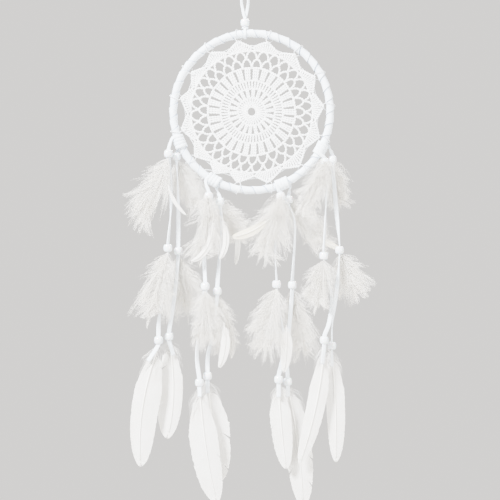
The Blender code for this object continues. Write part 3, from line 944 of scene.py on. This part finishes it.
def vane_barb(curve, u, side, wide, half, shift, barb):
    """One barb of a vane: a thin flat bar, out from the shaft and on towards the tip, narrow at its end."""
    root = np.array(curve(QUILL_SHARE + VANE_SHARE * u))
    ahead, across = spine_frame(curve, QUILL_SHARE + VANE_SHARE * u)
    s = VANE_STEPS
    sweep = half * (0.55 + 0.5 * u) * min(1, 0.3 + 2 * u) * (1 + shift)
    line = root + across * side * wide * s * (1 - 0.25 * shift) + ahead * sweep * s**1.4
    line = line + BACKWARD * 0.15 * wide * s**1.5
    taper = barb * (1 - 0.65 * s**3)
    way = unit(np.gradient(line, axis=0))
    flat = unit(np.cross(way, BACKWARD))
    face = np.cross(flat, way) * VANE_THICK
    return np.stack([line - flat * taper, line + face, line + flat * taper, line - face], axis=1)


def feather(name, curve, half, body, node, seed, shares=(1.0, 1.0), splits=((), ()), tone="vane",
            rows=210, barb=0.62 * MM, shaft_r=0.9 * MM, fluffy=70):
    """A feather: a tapering shaft, and a vane of separate barbs that overlap, with a few splits."""
    rng = np.random.default_rng(seed)
    heap = Heap()
    shaft = resampled([curve(t) for t in np.linspace(0, 0.97, 40)], 1.5 * MM)
    heap.paint = 1
    heap.tube(shaft - BACKWARD * 0.5 * MM, np.linspace(shaft_r, 0.25 * MM, len(shaft)), 8)
    heap.paint = 0
    for side, share, parted in zip((-1, 1), shares, splits):
        for i in range(rows):
            u = 0.1 + 0.9 * i / (rows - 1)
            wide = vane_half(u, 0.32) * half * share
            wide *= (1 + 0.05 * noise.noise(Vector((u * 25, seed, side)))
                     + 0.04 * noise.noise(Vector((u * 70, seed, side))))
            shift = sum(drop * max(0, 1 - (u - at) / 0.1) for at, drop in parted if u > at)
            ring = vane_barb(curve, u, side, wide, half, shift, barb)
            heap.grid(ring + BACKWARD * VANE_LAY * (i % 3), closed=True)
    fuzz(heap, curve, half, rng, fluffy)
    piece = heap.piece(name, [tone, "rachis"], body, "feather", crisp=0)
    if node:
        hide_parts(node)
    return piece


def fuzz(heap, curve, half, rng, count):
    """Loose downy barbs at the feather's base."""
    steps = np.linspace(0, 1, 7)[:, None]
    for _ in range(count):
        u = rng.uniform(0.05, 0.2)
        root = np.array(curve(u))
        ahead, across = spine_frame(curve, u)
        side = rng.choice((-1, 1))
        wide = half * rng.uniform(0.35, 0.95)
        reach = half * rng.uniform(0.6, 1.6)
        line = root + across * side * wide * (1 - (1 - steps) ** 2) + ahead * reach * steps
        line[:, 1] += np.sign(root[1]) * 0.5 * MM
        heap.tube(line, FUZZ_R * (1 - 0.8 * steps[:, 0]), 3, ends=False)


# ---------------------------------------------------------------- the pendants' down and feathers

# Millimetres, right of and above the hoop's centre: for down its tip and half width, and for the long
# feather its bend, tip and half width.
PLUMES = {
    "left_front": dict(upper=(-112, -113, 12), mid=(-101, -205, 10), feather=(-112, -285, -107.5, -340, 11)),
    "left_back": dict(upper=(-52, -96, 9), mid=(-60, -206, 10), feather=(-72, -275, -81.5, -313.5, 9.5)),
    "lower_left_front": dict(upper=(-47, -148, 11), mid=(-39, -232, 9), feather=(-46, -330, -35, -372, 11.5)),
    "lower_left_back": dict(upper=(-10, -128, 10), mid=(-27, -240, 9), feather=(-36, -325, -35.5, -355, 11)),
    "lower_right_front": dict(upper=(6, -146, 13), mid=(8, -240, 11), feather=(27, -300, 33, -343, 8.5)),
    "lower_right_back": dict(upper=(80, -131, 9), mid=(53, -245, 11), feather=(47, -320, 50, -381, 12)),
    "right_front": dict(upper=(47, -98, 9), mid=(61, -192, 10), feather=(66, -285, 46, -341, 8.5)),
    "right_back": dict(upper=(86, -96, 9), mid=(108, -183, 10), feather=(83, -290, 82, -339, 8.5)),
}

# The left and right vanes' shares of each long feather's half width, and each vane's splits: where along
# the vane, and how deep.
VANES = {
    "left_front": ((0.85, 1.3), ((), ())),
    "left_back": ((1.5, 0.85), (((0.22, 0.5), (0.62, 0.16)), ())),
    "lower_left_front": ((1.15, 1.0), ((), ((0.55, 0.12),))),
    "lower_left_back": ((0.9, 1.35), ((), ((0.45, 0.2), (0.8, 0.15)))),
    "lower_right_front": ((1.05, 1.1), (((0.5, 0.14),), ())),
    "lower_right_back": ((1.0, 1.0), (((0.7, 0.2),), ((0.6, 0.16), (0.82, 0.2)))),
    "right_front": ((0.95, 0.95), ((), ())),
    "right_back": ((0.9, 1.0), ((), ((0.85, 0.1),))),
}

# Body feathers that lie among the down: strand, start, bend, tip, half width, how much further out than
# the start the bend and tip lie, and look.
SMALL = [
    ("lower_right_front", (17, -104), (0, -119), (-17, -121), 4.5, 3, "cream"),
    ("lower_left_front", (-37, -98), (-36, -138), (-59, -145), 3.2, 2, "vane"),
    ("lower_left_front", (-28, -104), (-20, -128), (-31, -143), 3.0, 3, "vane"),
    ("lower_left_back", (-15, -112), (-12, -130), (-16, -149), 2.6, 0, "vane"),
    ("left_front", (-80, -72), (-76, -90), (-62, -101), 1.7, 2, "vane"),
    ("lower_left_front", (-27, -203), (-22, -226), (-31, -246), 4.5, 2, "vane"),
    ("lower_left_back", (-22, -205), (-17, -222), (-20, -240), 3.0, 0, "vane"),
    ("lower_right_front", (33, -206), (35, -226), (31, -250), 5.5, 0, "vane"),
    ("lower_right_back", (62, -119), (74, -128), (87, -133), 3.0, 0, "cream"),
]


def strand_tuft(name, which, seed):
    """The tuft under one of a strand's upper two beads."""
    side = side_of(name)
    x, z, half = PLUMES[name][which]
    bead = bead_middle(name, which)
    foot = Vector((bead.x, side * QUILL_Y, bead.z - BEAD_HALF - 1 * MM))
    start = bead + Vector((0, side * 1.2 * MM, 0))
    tip = hung((x, z), side * FLUFF_Y)
    over = OVER_BEAD if which == "upper" and not name.startswith("left_") else 0
    return down_tuft(f"{name}_{which}_down", start, foot, tip, half * MM, f"{name}_strand",
                     f"{name}_{which}_fluff", seed, over)


def strand_feather(name, seed):
    """The long feather under a strand's end bead."""
    side = side_of(name)
    bx, bz, tx, tz, half = PLUMES[name]["feather"]
    bead = bead_middle(name, "end")
    y = side * QUILL_Y + (END_FORWARD if side < 0 else 0)
    foot = Vector((bead.x, y, bead.z - BEAD_HALF - 2 * MM))
    bend, tip = hung((bx, bz), y), hung((tx, tz), y)
    inside = bead + Vector((0, 1.0 * MM, 0))
    shares, splits = VANES[name]

    def curve(t):
        if t < QUILL_SHARE:
            return inside.lerp(foot, t / QUILL_SHARE)
        return bezier((t - QUILL_SHARE) / (1 - QUILL_SHARE), foot, bend, tip)

    return feather(f"{name}_plume", curve, half * 1.12 * MM, f"{name}_tip", f"{name}_feather", seed,
                   shares=shares, splits=splits)


def small_feather(name, strand, start, bend, tip, half, depth, tone, seed):
    """A short curved body feather among a tuft's down."""
    near = side_of(strand) * FLUFF_Y
    far = side_of(strand) * (FLUFF_Y + depth * MM)
    points = [hung(start, near), hung(bend, far), hung(tip, far)]

    def curve(t):
        return bezier(t, *points)

    return feather(name, curve, half * MM, f"{strand}_strand", None, seed, tone=tone,
                   rows=70, barb=0.4 * MM, shaft_r=0.28 * MM, fluffy=30)


def pendants():
    """The four knotted laces, and on each its two strands' beads, down and feathers."""
    for i, (pendant, angle) in enumerate(PENDANTS.items()):
        knot_lace(pendant, angle)
        for j, side in enumerate(SIDES):
            name = f"{pendant}_{side}"
            seed = 2 * i + j
            lace, line = strand_lace(name, seed)
            for k, which in enumerate(("upper", "mid", "end")):
                body = f"{name}_tip" if which == "end" else f"{name}_strand"
                pony_bead(f"{name}_{which}_pony_bead", bead_middle(name, which), body,
                                       f"{name}_{which}_bead", 3 * seed + k)
            for k, which in enumerate(("upper", "mid")):
                strand_tuft(name, which, 100 + 2 * seed + k)
            strand_feather(name, 200 + seed)
            small = [small_feather(f"{name}_small_feather_{k}", *row, 300 + 10 * seed + k)
                     for k, row in enumerate(SMALL) if row[0] == name]
            tuple(line[0])
            length_of(line)
            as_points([tuple(p) for p in line[::2]] + [tuple(line[-1])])


# ---------------------------------------------------------------- camera, light and floor

def aimed(thing, at, target):
    thing.location = at
    thing.rotation_euler = (Vector(target) - Vector(at)).to_track_quat("-Z", "Y").to_euler()


FLOOR_CORNERS = 96
FLOOR_R = 3
FLOOR_Z = -1.3


def camera():
    """It looks level, and square on to the hoop."""
    seen = HOOP_CENTRE + Vector((-1.7 * MM, 0, -133.9 * MM))
    lens = bpy.data.cameras.new("camera")
    lens.lens = 80.2
    lens.sensor_width = 36
    made = linked("camera", lens)
    aimed(made, seen + FRONT * 1.08, seen)
    bpy.context.scene.camera = made


def soft_light(name, at, size, power, colour):
    data = bpy.data.lights.new(name, "AREA")
    data.shape = "DISK"
    data.size = size
    data.energy = power
    data.color = colour
    aimed(linked(name, data), at, HOOP_CENTRE + Vector((0, 0, -0.12)))


def studio():
    """A soft key from the left, a weaker fill from the right, and a light from behind, in a pale room."""
    world = bpy.data.worlds.new("studio")
    world.use_nodes = True
    world.node_tree.nodes["Background"].inputs["Color"].default_value = (1.0, 0.97, 0.925, 1)
    world.node_tree.nodes["Background"].inputs["Strength"].default_value = 1.5
    bpy.context.scene.world = world
    soft_light("key", (-1.1, -1.1, 0.9), 0.5, 380, (0.96, 0.98, 1.0))
    soft_light("fill", (1.2, -1.2, -0.1), 1.0, 80, (1.0, 0.98, 0.95))
    soft_light("rim", (0.3, 1.3, 0.7), 0.8, 120, (1.0, 0.99, 0.97))


def plain_floor():
    """A pale disc well below the feathers."""
    disc = bpy.data.meshes.new("floor")
    turn = np.arange(FLOOR_CORNERS) * tau / FLOOR_CORNERS
    disc.from_pydata([(FLOOR_R * cos(a), FLOOR_R * sin(a), FLOOR_Z) for a in turn], [],
                     [tuple(range(FLOOR_CORNERS))])
    look, _, _ = shader_nodes("floor_paint", (0.55, 0.535, 0.505), 0.9)
    disc.materials.append(look)
    linked("floor", disc)


# ---------------------------------------------------------------- making

camera()
pony_bead("top_pony_bead", middle("top_bead"), "hanger", "top_bead", 71)
hanging_loop()
pendants()
hoop_ribbon()
doily()
lashing_thread()
studio()
plain_floor()

core = bpy.data.objects["hoop_core"]
core.data.materials.clear()
core.data.materials.append(LOOKS["core"])
